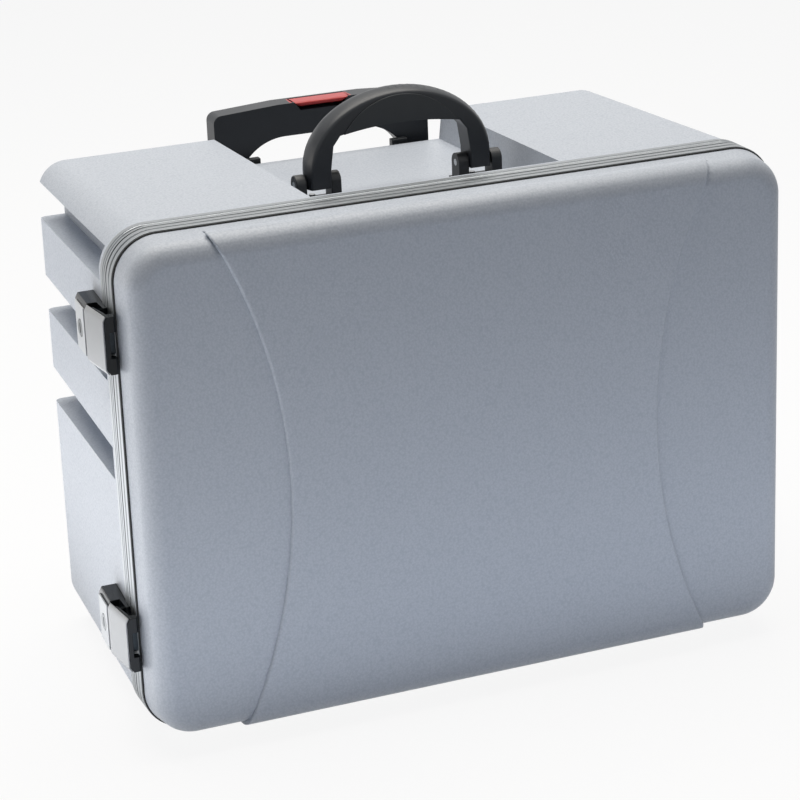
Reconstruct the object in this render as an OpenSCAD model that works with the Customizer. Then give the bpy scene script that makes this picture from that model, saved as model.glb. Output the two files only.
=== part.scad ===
// Hard tool case on wheels: two moulded shells in aluminium frames, two side latches, side hinges,
// a carry handle in a top recess and a two stage pull handle behind the rear wall.
// +X points to the hinges, +Y to the pull handle, +Z up. The lid faces -Y.
// The origin is on the ground, under the middle of the whole case.

/* [Case] */
// Outer width of the aluminium frames
case_w = 500; // [420:5:600]
// Outer height of the aluminium frames
case_h = 366; // [330:2:460]
// Outer corner radius of the frames
corner_r = 33; // [28:1:45]
// Depth from the lid gap to the rear wall
base_depth = 248; // [220:2:320]
// Depth of the lid in front of the gap
lid_depth = 27; // [24:1:45]
// Wall of the moulded shells
shell_wall = 3; // [2:0.25:4]
// Step from the frame in to the base shell
shell_step = 1; // [0.5:0.25:1.5]
// How far each side draws in at the rear wall
side_taper = 16; // [8:1:24]
// How far the top falls at the rear wall
top_taper = 7.5; // [3:0.5:12]
// Corner radius at the rear wall
rear_corner_r = 22; // [16:1:30]
// Rounding of the edges of the rear wall
rear_edge_r = 6; // [4:0.5:9]

/* [Lid] */
// Step from the frame in to the lid shell
lid_step = 2.4; // [1.5:0.1:4]
// Draw of the lid walls towards the front
lid_draft = 2; // [0:0.5:4]
// Rounding of the front edge of the lid
lid_edge_r = 15; // [12:1:18]
// How far the middle panel stands proud
panel_rise = 2.5; // [1:0.25:4]
// Half the width of the middle panel at its waist
waist_half = 141.5; // [110:0.5:180]
// Radius of the two curved steps
waist_r = 395; // [300:5:700]
// How far the waist lies below the middle
waist_drop = 4; // [0:1:10]

/* [Frames] */
// Where the two frames meet
joint_y = 15.15; // [14:0.05:17]
// Gap between the two frames
joint_gap = 0.3; // [0.2:0.1:0.6]
// Width of the base frame band
base_band = 12; // [10:0.5:16]
// Width of the lid frame band
lid_band = 13; // [11:0.5:14]
// Depth of the frame channel walls in from the outside
channel_depth = 10; // [9:0.5:14]
// Outer wall of a frame channel
band_wall = 3; // [2:0.25:3.5]
// Inner wall of a frame channel
inner_wall = 3; // [2:0.25:3]
// Web between the channel and the joint
web_wall = 3.5; // [3:0.25:5]
// Depth of the black strip between frame and lid shell
trim_depth = 1.5; // [1:0.25:3]
// Step from the frame in to the black strip
trim_step = 0.4; // [0.2:0.1:1]
// Depth of the fine lines along the bands
line_depth = 0.6; // [0.3:0.1:1]
// Width of the seal strip
seal_w = 2.6; // [2:0.1:3]
// Depth of the seal strip
seal_depth = 2; // [1.5:0.1:2.4]

/* [Top recess] */
// Width of the recess floor
recess_w = 184; // [175:1:230]
// Depth of the recess
recess_depth = 25; // [22:0.5:30]
// Where the recess starts behind the gap
recess_start = 32; // [31:0.5:36]
// Draw of each recess wall
recess_draft = 3; // [1:0.5:6]

/* [Side grooves] */
// Heights of the groove ledges at the rear wall
groove_z = [171, 244, 316];
// Height of a groove at the rear wall
groove_h = 28; // [18:1:30]
// Height of a groove at its front end
groove_front_h = 24; // [14:1:26]
// Climb of the ledge to the front end
groove_rise = 11; // [4:1:13]
// Depth of a groove at the rear wall
groove_depth = 20; // [10:1:26]
// Depth of a groove at its front end
groove_front_depth = 20; // [10:1:24]
// Where the grooves start behind the gap
groove_start = 35; // [32:1:60]

/* [Latches and hinges] */
// How far the latches stand out from the frame
side_proud = 13; // [12:0.5:15]
// How far the hinges stand out from the frame
hinge_proud = 7; // [6.5:0.25:9]
// Height of the latches and hinges above and below the middle
latch_offset = 110; // [80:1:118]
// Height of a latch
latch_h = 41; // [36:1:46]
// Height of the bevel along the top and the bottom of a latch
bevel_up = 3.5; // [2:0.25:5]
// Depth of that bevel
bevel_in = 2; // [1:0.25:3]
// How far a flap's face falls back to its front end
flap_fall = 3.5; // [2:0.25:4]
// How far the housing's face falls back to its rear end
housing_fall = 1.7; // [0.5:0.1:3]
// Reach of the flap in front of the lid's rear edge
flap_reach = 5; // [4:0.5:7]
// Where the flap pivot lies behind the gap
flap_pivot_y = 26; // [25:0.5:28]
// Rear end of the latch housing behind the gap
latch_end = 60; // [56:1:70]
// Thickness of the grey cover plates
plate_t = 1.2; // [0.8:0.1:1.4]
// Radius of the lock cylinder
lock_r = 6; // [4.5:0.25:6.5]
// Length of a hinge
hinge_l = 64; // [45:1:80]
// Radius of the hinge knuckles
knuckle_r = 3; // [2.75:0.25:3.5]
// Radius of the hinge pins
hinge_pin_r = 1.4; // [1.2:0.1:1.6]
// Thickness of the hinge leaves
leaf_t = 1.6; // [1.2:0.1:2]

/* [Carry handle] */
// Width over the handle legs
handle_w = 144; // [130:1:150]
// Width of a leg
leg_w = 17.5; // [14:0.5:19]
// Thickness of the handle from front to rear
handle_t = 21; // [16:1:22]
// Height of the arch above the pivot
handle_rise = 63.5; // [52:0.5:68]
// Depth of the grip at the middle of the arch
grip_depth = 24.5; // [20:0.5:28]
// Height of the pivot above the recess floor
pivot_up = 15.5; // [14:0.5:17]
// Where the pivot lies behind the gap
handle_y = 107.5; // [100:0.5:125]
// Radius of the handle pins
handle_pin_r = 2.5; // [2:0.25:3]
// Thickness of a bracket ear
ear_t = 8; // [5:0.5:8]

/* [Pull handle] */
// Half the distance between the tubes
tube_x = 77.5; // [74:0.5:78]
// Width of the outer tube
tube_w = 24; // [22:0.5:26]
// Depth of the outer tube
tube_d = 17; // [16:0.5:20]
// Wall of the tubes
tube_wall = 1.4; // [1.1:0.1:1.5]
// Running gap between tubes
tube_gap = 0.3; // [0.2:0.1:0.5]
// Gap from the rear wall to the tubes
tube_standoff = 14; // [12:0.5:18]
// Foot of the outer tubes above the frame's lowest edge
tube_foot = 40; // [34:1:60]
// Top of the outer tubes below the highest edge of the frame
tube_top_down = 40; // [39:1:46]
// Height of the hand grip bar
grip_bar = 25.5; // [20:0.5:27]
// Depth of the hand grip
grip_d = 18; // [16:0.5:20]
// Half the width of the hand grip
grip_half = 88.5; // [86:0.5:97]
// Fall of the top of the hand grip towards its ends
grip_fall = 3.3; // [1:0.1:5]
// Length of the release button
button_l = 54; // [40:1:70]
// Travel of the release button
button_travel = 3; // [2:0.5:4]

/* [Wheels and feet] */
// Radius of the tyres
wheel_r = 27; // [24:1:30]
// Width of a wheel
wheel_w = 20; // [16:1:22]
// Distance from the side of the frame to the middle of a wheel
wheel_in = 72; // [60:1:90]
// Height of the frame above the ground
stand_h = 12; // [10:1:16]
// Where the axle lies in front of the rear wall
axle_in = 12; // [8:1:16]
// Radius of the axles
axle_r = 4; // [3:0.25:5]
// Radius of a front foot
foot_r = 14; // [10:1:18]
// Where the front feet lie behind the gap
foot_y = 52; // [46:1:90]

/* [Hidden] */

// Colours
shell_grey = [0.72, 0.74, 0.75];
lid_grey = [0.55, 0.58, 0.62];
satin_metal = [0.78, 0.79, 0.8];
dark_plastic = [0.13, 0.14, 0.15];
cover_grey = [0.68, 0.69, 0.7];

// Smoothness of true curves and of rounded hulls
$fn = 64;
hull_fn = 32;
// Clearance of flat faces that seat on each other
seat = 0.05;
// Clearance of a pin in its hole, on the radius
pin_gap = 0.05;
// Clearance between pieces that move past each other
part_gap = 0.4;
// Margin by which cutters pass a face
past = 1;

half_w = case_w / 2;
wheel_x = half_w - wheel_in;
mid_z = case_h / 2;
latch_zs = [mid_z + latch_offset, mid_z - latch_offset];

// The base shell
base_frame_y0 = joint_y + joint_gap / 2;
base_frame_y1 = base_frame_y0 + base_band;
base_half = half_w - shell_step;
side_slope = (side_taper - shell_step) / (base_depth - base_frame_y1);
top_slope = (top_taper - shell_step) / (base_depth - base_frame_y1);
function side_x(y) = base_half - side_slope * (y - base_frame_y1);
function top_z(y) = case_h - shell_step - top_slope * (y - base_frame_y1);
top_angle = atan(top_slope);
function floor_z(y) = top_z(y) - recess_depth;

// The lid
lid_frame_y1 = joint_y - joint_gap / 2;
lid_frame_y0 = lid_frame_y1 - lid_band;
lid_back_y = lid_frame_y0 - trim_depth;
lid_front_y = -lid_depth - panel_rise;
lip_out = band_wall + 0.3;
lip_in = lip_out + shell_wall - 0.2;
seal_step = (band_wall + channel_depth - seal_w) / 2;

// The latches
latch_x = half_w + side_proud;
body_out = side_proud - plate_t - seat;
pivot_u = side_proud - 4.4;
flap_knuckle_r = 3;
lug_r = 2.6;
latch_pin_r = 1.5;
gap_y0 = flap_pivot_y + 2.6;
gap_y1 = flap_pivot_y + 5.6;
lug_t = 5;
lock_y = (gap_y1 + latch_end) / 2 - 2;
lock_top = side_proud - 0.5;
latch_inner = latch_h / 2 - bevel_up;
flap_angle = atan(flap_fall / (gap_y0 + flap_reach));
housing_angle = atan(housing_fall / (latch_end - gap_y1));
keeper_out = 4.6;
keeper_half = 8;
keeper_y0 = lid_frame_y0 + 1;
keeper_y1 = lid_frame_y1 - 1;

// The hinges
hinge_x = half_w + hinge_proud - knuckle_r;
hinge_y = joint_y;
knuckles = 5;
knuckle_l = hinge_l / knuckles;
knuckle_gap = 0.3;

// The carry handle
pivot_z = floor_z(handle_y) + pivot_up;
leg_in = handle_w / 2 - leg_w;
bracket_t = 2.5;
ear_gap = 0.5;
ear_r = 7;
bracket_y = ear_r + 6;
arch_lift = 9.5;
under_lift = handle_rise - grip_depth;

// The pull handle
tube_y = base_depth + tube_standoff + tube_d / 2;
tube_top = case_h - tube_top_down;
middle_w = tube_w - 2 * tube_wall - 2 * tube_gap;
middle_d = tube_d - 2 * tube_wall - 2 * tube_gap;
inner_w = middle_w - 2 * tube_wall - 2 * tube_gap;
inner_d = middle_d - 2 * tube_wall - 2 * tube_gap;
tube_r = 4;
bracket_rim = 3;
bracket_h = 20;
middle_foot = tube_foot + 5;
inner_foot = tube_foot + 7;
rod_foot = tube_foot + 40;
catch_w = 13;
catch_up = 10;
bracket_rear = tube_y + tube_d / 2 + bracket_rim;
grip_foot = tube_top + 3;
grip_top = grip_foot + grip_bar + 19.5;
grip_r = 6;
grip_crown = button_l / 2 + 9;
opening_half = grip_half - 15.5;
opening_r = 42;
opening_tall = grip_top - grip_foot + opening_r;
button_wall = 1.8;
button_d = grip_d - 2 * button_wall - 0.6;
button_h = 10;
button_lip = 3.6;
rod_r = 1.6;

// The wheels
axle_y = base_depth - axle_in;
axle_z = wheel_r - stand_h;
well_gap = 3;
cheek_t = 3;
well_half = wheel_w / 2 + 2 + cheek_t;
well_reach = wheel_r + well_gap + cheek_t;
hub_r = wheel_r - 7;
foot_screw_h = stand_h / 6;

// The whole case: the latches stand out further than the hinges
x_mid = (hinge_proud - side_proud) / 2;
y_mid = (lid_front_y + bracket_rear) / 2;

module placed() {
    translate([-x_mid, -y_mid, stand_h])
        children();
}

// A rectangle with round corners, from the middle
module round_rect(w, h, r) {
    square([w - 2 * r, h], center = true);
    square([w, h - 2 * r], center = true);
    for (x = [-1, 1], y = [-1, 1])
        translate([x * (w / 2 - r), y * (h / 2 - r)])
            circle(r);
}

// Stands a flat outline up across the case and gives it depth from y0 to y1
module across(y0, y1) {
    translate([0, y1, 0])
        rotate([90, 0, 0])
            linear_extrude(y1 - y0)
                children();
}

// Turns an outline drawn in depth and height to face sideways, from x0 to x1
module sideways(x0, x1) {
    translate([x0, 0, 0])
        rotate([90, 0, 90])
            linear_extrude(x1 - x0)
                children();
}

// The outline of the frames, drawn in by a step
module case_outline(step) {
    translate([0, mid_z])
        round_rect(case_w - 2 * step, case_h - 2 * step, corner_r - step);
}

// A band round the case between two steps
module band(y0, y1, outer_step, inner_step) {
    across(y0, y1)
        difference() {
            case_outline(outer_step);
            case_outline(inner_step);
        }
}

// A disc with a round front edge, which faces along +Z
module pillow(r, edge_r) {
    rotate_extrude($fn = hull_fn)
        intersection() {
            translate([r - edge_r, 0])
                circle(edge_r, $fn = hull_fn);
            square(edge_r + r);
        }
}

// The outer form of the base shell, drawn in by a step
module base_form(step, front_y) {
    r = corner_r - shell_step - step;
    rr = rear_corner_r - step;
    edge_r = rear_edge_r - step;
    rear_step = shell_step + step + rr;
    hull() {
        for (side = [-1, 1], z = [shell_step + step + r, case_h - shell_step - step - r])
            translate([side * (base_half - step - r), front_y, z])
                rotate([-90, 0, 0])
                    cylinder(r = r, h = 0.5, $fn = hull_fn * 2);
        for (side = [-1, 1], z = [rear_step, top_z(base_depth) - step - rr])
            translate([side * (side_x(base_depth) - step - rr), base_depth - rear_edge_r, z])
                rotate([-90, 0, 0])
                    pillow(rr, edge_r);
    }
}

// The recess for the two handles, grown by a wall
module recess(grow) {
    half = recess_w / 2 + grow;
    height = recess_depth + 30;
    lean = recess_draft / recess_depth * height;
    translate([0, recess_start - grow, floor_z(recess_start) - grow])
        rotate([-top_angle, 0, 0])
            across(0, base_depth)
                polygon([[-half, 0], [half, 0], [half + lean, height], [-half - lean, height]]);
}

// One groove in the left side, grown by a wall
module groove(z, grow) {
    run = base_depth - groove_start;
    outer = case_w;
    rear_x = side_x(base_depth) - groove_depth - grow;
    front_x = side_x(groove_start) - groove_front_depth - grow;
    y0 = groove_start - grow;
    y1 = base_depth + 2;
    intersection() {
        translate([0, 0, z - case_h / 2])
            linear_extrude(case_h)
                polygon([[-front_x, y0], [-outer, y0], [-outer, y1], [-rear_x, y1]]);
        sideways(-outer, 0)
            polygon([
                [y0, z + groove_rise - grow],
                [y1, z - grow],
                [y1, z + groove_h + grow],
                [y0, z + groove_rise + groove_front_h + grow]
            ]);
    }
}

module grooves(grow) {
    for (z = groove_z) {
        groove(z, grow);
        mirror([1, 0, 0])
            groove(z, grow);
    }
}

// The two wells for the wheels, grown by a wall
module wheel_wells(grow) {
    for (side = [-1, 1])
        translate([side * wheel_x - well_half - seat - grow, axle_y - well_reach - seat - grow, -5])
            cube([
                2 * (well_half + seat + grow),
                2 * well_reach,
                axle_z + well_reach + seat + grow + 5
            ]);
}

module base_shell() {
    color(shell_grey)
        difference() {
            union() {
                base_form(0, base_frame_y1 + seat);
                band(base_frame_y0 + web_wall + seat, base_frame_y1 + shell_wall, lip_out, lip_in);
            }
            difference() {
                base_form(shell_wall, base_frame_y1 - past);
                band(base_frame_y0, base_frame_y1 + shell_wall, -past, lip_in);
                recess(shell_wall);
                grooves(shell_wall);
                wheel_wells(shell_wall);
            }
            recess(0);
            grooves(0);
            wheel_wells(0);
        }
}

// A channel section round the case, open towards far_y, with its web at the joint
module frame_channel(web_y0, web_y1, far_y0, far_y1) {
    band(min(web_y0, far_y0), max(web_y1, far_y1), 0, band_wall);
    band(web_y0, web_y1, band_wall - 0.1, channel_depth);
    band(min(web_y0, far_y0), max(web_y1, far_y1), channel_depth - inner_wall, channel_depth);
}

module base_frame() {
    color(satin_metal)
        difference() {
            frame_channel(base_frame_y0, base_frame_y0 + web_wall, base_frame_y0, base_frame_y1);
            band(base_frame_y0 - past, base_frame_y0 + seal_depth + seat,
                seal_step - seat, seal_step + seal_w + seat);
            band(base_frame_y0 + base_band * 0.55, base_frame_y0 + base_band * 0.55 + 1,
                -past, line_depth);
        }
}

module frame_seal() {
    color(dark_plastic)
        band(base_frame_y0, base_frame_y0 + seal_depth, seal_step, seal_step + seal_w);
}

module lid_frame() {
    color(satin_metal)
        difference() {
            frame_channel(lid_frame_y1 - web_wall, lid_frame_y1, lid_frame_y0, lid_frame_y1);
            band(lid_frame_y0 + lid_band * 0.45, lid_frame_y0 + lid_band * 0.45 + 1,
                -past, line_depth);
        }
}

module lid_trim() {
    color(dark_plastic)
        band(lid_back_y + seat, lid_frame_y0 - seat, trim_step, lip_out - seat);
}

// The outer form of the lid: step draws it in, raise pushes its front out
module lid_form(step, raise) {
    back_r = corner_r - lid_step - step;
    front_r = corner_r - lid_step - lid_draft - step;
    edge_r = lid_edge_r - max(step, 0);
    back_step = lid_step + step;
    front_step = lid_step + lid_draft + step;
    front_y = -(lid_depth + raise - max(step, 0) - edge_r);
    hull() {
        for (side = [-1, 1], z = [back_step + back_r, case_h - back_step - back_r])
            translate([side * (half_w - back_step - back_r), lid_back_y - 0.5, z])
                rotate([-90, 0, 0])
                    cylinder(r = back_r, h = 0.5, $fn = hull_fn * 2);
        for (side = [-1, 1], z = [front_step + front_r, case_h - front_step - front_r])
            translate([side * (half_w - front_step - front_r), front_y, z])
                rotate([90, 0, 0])
                    pillow(front_r, edge_r);
    }
}

// The waisted outline of the middle panel, drawn in by a step
module panel_prism(step) {
    across(-2 * lid_depth, 0)
        difference() {
            translate([-half_w, -past])
                square([case_w, case_h + 2 * past]);
            for (side = [-1, 1])
                translate([side * (waist_half + waist_r), mid_z - waist_drop])
                    circle(waist_r + step, $fn = 180);
        }
}

module lid_shell() {
    color(lid_grey)
        difference() {
            union() {
                lid_form(0, 0);
                intersection() {
                    lid_form(-panel_rise, panel_rise);
                    panel_prism(0);
                }
                band(lid_back_y - shell_wall, lid_frame_y1 - web_wall - seat, lip_out, lip_in);
            }
            difference() {
                translate([0, past, 0])
                    union() {
                        lid_form(shell_wall, past);
                        intersection() {
                            lid_form(shell_wall - panel_rise, past);
                            panel_prism(shell_wall);
                        }
                    }
                band(lid_back_y - shell_wall, lid_frame_y1, -past, lip_in);
            }
        }
}

// Moves a piece drawn at a latch (outward, depth, height) to the left side of the frame
module at_latch(i) {
    translate([-half_w, 0, latch_zs[i]])
        mirror([1, 0, 0])
            children();
}

// Moves a piece drawn on a latch's slanted face (outward, along, height) to the latch
module on_face(y, angle) {
    translate([side_proud, y, 0])
        rotate([0, 0, angle])
            children();
}

// The cross-section of a latch, set back from its face, with a bevel along its top and bottom
module latch_section(back) {
    half = latch_h / 2;
    polygon([
        [-2 * side_proud, -half], [-bevel_in - back, -half], [-back, bevel_up - half],
        [-back, half - bevel_up], [-bevel_in - back, half], [-2 * side_proud, half]
    ]);
}

// Draws a cross-section of (outward, height) along a face, from w0 to w1
module along_face(w0, w1) {
    translate([0, w1, 0])
        rotate([90, 0, 0])
            linear_extrude(w1 - w0)
                children();
}

// The housing follows the shell that narrows behind the frame
module latch_housing(i) {
    shell_u = side_x(latch_end) - half_w + seat;
    half = latch_h / 2;
    color(dark_plastic)
        at_latch(i)
            difference() {
                union() {
                    intersection() {
                        translate([0, 0, -half])
                            linear_extrude(latch_h)
                                polygon([
                                    [seat, base_frame_y0 + 0.5], [seat, base_frame_y1 + seat],
                                    [-shell_step + seat + 0.1, base_frame_y1 + 0.5],
                                    [shell_u + 0.1, latch_end], [side_proud, latch_end],
                                    [side_proud, gap_y1], [3, gap_y1], [3, base_frame_y0 + 0.5]
                                ]);
                        on_face(gap_y1, housing_angle)
                            along_face(-latch_end, latch_end)
                                latch_section(plate_t + seat);
                    }
                    for (side = [-1, 1])
                        translate([0, 0, side * (latch_inner - lug_t / 2)])
                            linear_extrude(lug_t, center = true) {
                                translate([pivot_u, flap_pivot_y])
                                    circle(lug_r);
                                translate([2, flap_pivot_y - lug_r])
                                    square([pivot_u - 2, lug_r * 2]);
                            }
                }
                translate([pivot_u, flap_pivot_y, 0])
                    cylinder(r = latch_pin_r + pin_gap, h = latch_h + 2, center = true);
                translate([3.2, lock_y, 0])
                    rotate([0, 90, 0])
                        cylinder(r = lock_r + pin_gap, h = side_proud);
            }
}

module latch_plate(i) {
    color(cover_grey)
        at_latch(i)
            difference() {
                on_face(gap_y1, housing_angle)
                    translate([-plate_t, 0.3, -latch_inner])
                        cube([plate_t, latch_end - gap_y1 - 3.5, 2 * latch_inner]);
                translate([lock_top - 4, lock_y, 0])
                    rotate([0, 90, 0])
                        cylinder(r = lock_r + 0.3, h = 8);
            }
}

module lock_cylinder(i) {
    slot_w = 1.6;
    color(satin_metal)
        at_latch(i)
            difference() {
                translate([3.4, lock_y, 0])
                    rotate([0, 90, 0])
                        cylinder(r = lock_r, h = lock_top - 3.4);
                translate([lock_top - 2, lock_y - slot_w / 2, -lock_r * 0.6])
                    cube([4, slot_w, lock_r * 1.2]);
            }
}

module latch_pins() {
    color(satin_metal)
        for (i = [0, 1])
            at_latch(i)
                translate([pivot_u, flap_pivot_y, 0])
                    cylinder(r = latch_pin_r, h = 2 * latch_inner, center = true);
}

// The flap turns on its pin, and its front end reaches round the keeper with a prong above and one below
module latch_flap(i) {
    half = latch_h / 2;
    rear_half = latch_inner - lug_t - 0.3;
    rear_y = flap_pivot_y - 4.4;
    inner_u = pivot_u - 0.4;
    front_inner = keeper_out + 2 * part_gap;
    wall_y = keeper_y0 - 2 * part_gap;
    notch_half = keeper_half + 1.2;
    color(dark_plastic)
        at_latch(i)
            difference() {
                union() {
                    intersection() {
                        translate([0, 0, -half])
                            linear_extrude(latch_h)
                                polygon([
                                    [inner_u, rear_y], [front_inner, wall_y + 3], [front_inner, wall_y],
                                    [0.6, wall_y - 1], [0.6, 1 - flap_reach], [2, -flap_reach],
                                    [side_proud, -flap_reach], [side_proud, rear_y]
                                ]);
                        on_face(gap_y0, -flap_angle)
                            along_face(-latch_end, latch_end)
                                latch_section(plate_t + seat);
                    }
                    intersection() {
                        translate([0, 0, -rear_half])
                            linear_extrude(2 * rear_half) {
                                translate([pivot_u, flap_pivot_y])
                                    circle(flap_knuckle_r);
                                translate([inner_u, rear_y - 1])
                                    square([side_proud - inner_u, 5]);
                            }
                        on_face(gap_y0, -flap_angle)
                            along_face(-latch_end, latch_end)
                                latch_section(plate_t + seat);
                    }
                }
                translate([pivot_u, flap_pivot_y, 0])
                    cylinder(r = latch_pin_r + pin_gap, h = latch_h, center = true);
                translate([-past, -flap_reach - past, -notch_half])
                    cube([front_inner + past, 12 + past, 2 * notch_half]);
            }
}

// The cover wraps the bevels of the flap
module flap_cover(i) {
    color(cover_grey)
        at_latch(i)
            on_face(gap_y0, -flap_angle)
                along_face(-(gap_y0 + flap_reach - 1) / cos(flap_angle), 0)
                    difference() {
                        latch_section(0);
                        latch_section(plate_t);
                        translate([-3 * side_proud, -latch_h])
                            square([3 * side_proud - bevel_in - plate_t / 2, 2 * latch_h]);
                    }
}

module keeper(i) {
    color(satin_metal)
        at_latch(i)
            translate([0, 0, -keeper_half])
                linear_extrude(2 * keeper_half)
                    polygon([
                        [seat, keeper_y0], [keeper_out, keeper_y0], [keeper_out, keeper_y0 + 2.5],
                        [2, keeper_y0 + 4.5], [2, keeper_y1], [seat, keeper_y1]
                    ]);
}

// One hinge leaf: side is 1 for the base and -1 for the lid, whose knuckles fill the gaps
module hinge_leaf(i, side) {
    first = side > 0 ? 0 : 1;
    plate_end = side > 0 ? base_frame_y1 - hinge_y : hinge_y - lid_frame_y0;
    color(satin_metal)
        translate([hinge_x, hinge_y, latch_zs[i] - hinge_l / 2])
            mirror([0, side > 0 ? 0 : 1, 0])
                difference() {
                    union() {
                        translate([half_w - hinge_x + seat, knuckle_r + knuckle_gap, 0])
                            cube([leaf_t, plate_end - knuckle_r - 2 * knuckle_gap, hinge_l]);
                        for (k = [first:2:knuckles - 1])
                            translate([0, 0, k * knuckle_l + knuckle_gap / 2])
                                linear_extrude(knuckle_l - knuckle_gap) {
                                    circle(knuckle_r);
                                    translate([half_w - hinge_x + seat, joint_gap / 2])
                                        square([hinge_x - half_w - seat, knuckle_r - joint_gap / 2]);
                                    translate([half_w - hinge_x + seat, joint_gap / 2])
                                        square([leaf_t, knuckle_r + 2 * knuckle_gap]);
                                }
                    }
                    translate([0, 0, -past])
                        cylinder(r = hinge_pin_r + pin_gap, h = hinge_l + 2 * past);
                }
}

module hinge_pins() {
    color(satin_metal)
        for (i = [0, 1])
            translate([hinge_x, hinge_y, latch_zs[i]])
                cylinder(r = hinge_pin_r, h = hinge_l, center = true);
}

// A rivet head on a side of the frame: side is -1 for the left and 1 for the right
module rivet(side, out, y, z) {
    head_r = 2.4;
    head_h = 1;
    translate([side * (half_w + out + seat), y, z])
        rotate([0, side * 90, 0]) {
            cylinder(r = head_r, h = head_h / 2);
            translate([0, 0, head_h / 2])
                cylinder(r1 = head_r, r2 = head_r * 0.6, h = head_h / 2);
        }
}

module frame_rivets() {
    color(satin_metal)
        for (z = latch_zs, dz = [-1, 1])
            rivet(1, leaf_t + seat, base_frame_y1 - 4, z + dz * hinge_l / 3);
}

module lid_rivets() {
    color(satin_metal)
        for (z = latch_zs, dz = [-1, 1]) {
            rivet(1, leaf_t + seat, lid_frame_y0 + 4, z + dz * hinge_l / 3);
            rivet(-1, 2, keeper_y1 - 3, z + dz * 4.5);
        }
}

// A bracket of the carry handle: a foot on the recess floor and two ears round the leg
module handle_bracket(side) {
    inner = leg_in - ear_gap - ear_t;
    outer = handle_w / 2 + ear_gap + ear_t;
    color(dark_plastic)
        difference() {
            union() {
                translate([side > 0 ? inner : -outer, handle_y - bracket_y, pivot_z - pivot_up - 2])
                    cube([outer - inner, 2 * bracket_y, bracket_t + 2]);
                for (x = [inner, outer - ear_t])
                    sideways(side > 0 ? x : -x - ear_t, side > 0 ? x + ear_t : -x) {
                        translate([handle_y, pivot_z])
                            circle(ear_r);
                        translate([handle_y - ear_r, pivot_z - pivot_up - 2])
                            square([2 * ear_r, pivot_up + 2]);
                    }
            }
            translate([side * (inner + outer) / 2, handle_y, pivot_z])
                rotate([0, 90, 0])
                    cylinder(r = handle_pin_r + pin_gap, h = outer - inner + 2, center = true);
            translate([-half_w, recess_start, floor_z(recess_start) + seat])
                rotate([-top_angle, 0, 0])
                    translate([0, 0, -20])
                        cube([case_w, base_depth, 20]);
        }
}

module handle_pins() {
    length = leg_w + 2 * ear_gap + 2 * ear_t;
    color(satin_metal)
        for (side = [-1, 1])
            translate([side * (leg_in + leg_w / 2), handle_y, pivot_z])
                rotate([0, 90, 0])
                    cylinder(r = handle_pin_r, h = length, center = true);
}

module bracket_screws() {
    color(satin_metal)
        for (side = [-1, 1], dy = [-1, 1])
            translate([side * (leg_in + leg_w / 2), handle_y + dy * (bracket_y - 3), 0])
                translate([0, 0, pivot_z - pivot_up + bracket_t + seat])
                    cylinder(r = 2.4, h = 1.6);
}

// The arch seen from the front: an ellipse outside, a shallow arch under the grip
function ellipse_points(a, b, z, t0, t1, n) =
    [for (k = [0:n]) let (t = t0 + (t1 - t0) * k / n) [a * cos(t), z + b * sin(t)]];

module handle_outline() {
    half = handle_w / 2;
    inner = leg_in;
    corner = inner - 8;
    difference() {
        union() {
            polygon(ellipse_points(half, handle_rise - arch_lift, arch_lift, 0, 180, 40));
            translate([-half, -3.6])
                square([handle_w, arch_lift + 3.6]);
        }
        polygon(concat(
            [[-inner, -10], [-inner, 10], [-inner + 2.5, under_lift - 12], [-corner, under_lift - 5]],
            [for (k = [-5:5]) [k / 6 * corner, under_lift - 5 * pow(k / 6, 2)]],
            [[corner, under_lift - 5], [inner - 2.5, under_lift - 12], [inner, 10], [inner, -10]]
        ));
    }
}

module carry_handle() {
    color(dark_plastic)
        translate([0, handle_y, pivot_z])
            difference() {
                across(-handle_t / 2, handle_t / 2)
                    handle_outline();
                rotate([0, 90, 0])
                    cylinder(r = handle_pin_r + pin_gap, h = handle_w + 10, center = true);
            }
}

// A tube of the pull handle from z0 to z1
module tube(side, w, d, z0, z1) {
    translate([side * tube_x, tube_y, z0])
        linear_extrude(z1 - z0)
            difference() {
                round_rect(w, d, tube_r);
                round_rect(w - 2 * tube_wall, d - 2 * tube_wall, tube_r - tube_wall);
            }
}

module outer_tube(side) {
    color(satin_metal)
        tube(side, tube_w, tube_d, tube_foot + 3, tube_top);
}

module middle_tube(side) {
    color(satin_metal)
        tube(side, middle_w, middle_d, middle_foot, tube_top);
}

module inner_tube(side) {
    color(satin_metal)
        tube(side, inner_w, inner_d, inner_foot, grip_foot + grip_bar);
}

// A bracket that ties a tube to the rear wall, with a hole for the tube
module tube_bracket(side, z0, z1, floor_t) {
    w = tube_w + 2 * bracket_rim;
    color(dark_plastic)
        difference() {
            translate([side * tube_x, 0, z0])
                linear_extrude(z1 - z0) {
                    translate([0, tube_y])
                        round_rect(w, tube_d + 2 * bracket_rim, tube_r + bracket_rim);
                    translate([-w / 2, base_depth + seat])
                        square([w, tube_y - base_depth]);
                    translate([-w / 2 - 8, base_depth + seat])
                        square([w + 16, 4]);
                }
            translate([side * tube_x, tube_y, z0 + floor_t])
                linear_extrude(z1 - z0 + past)
                    round_rect(tube_w + 2 * pin_gap, tube_d + 2 * pin_gap, tube_r + pin_gap);
        }
}

module tube_top_bracket(side) {
    inner = tube_x - tube_w / 2 - bracket_rim;
    tube_bracket(side, tube_top - bracket_h, tube_top, -past);
    color(dark_plastic)
        translate([side > 0 ? inner - catch_w + 5 : -inner - 5, base_depth + 6.2, tube_top - bracket_h])
            cube([catch_w, tube_standoff - 8, bracket_h + catch_up]);
}

module tube_foot_bracket(side) {
    tube_bracket(side, tube_foot, tube_foot + bracket_h, 3 - seat);
}

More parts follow.
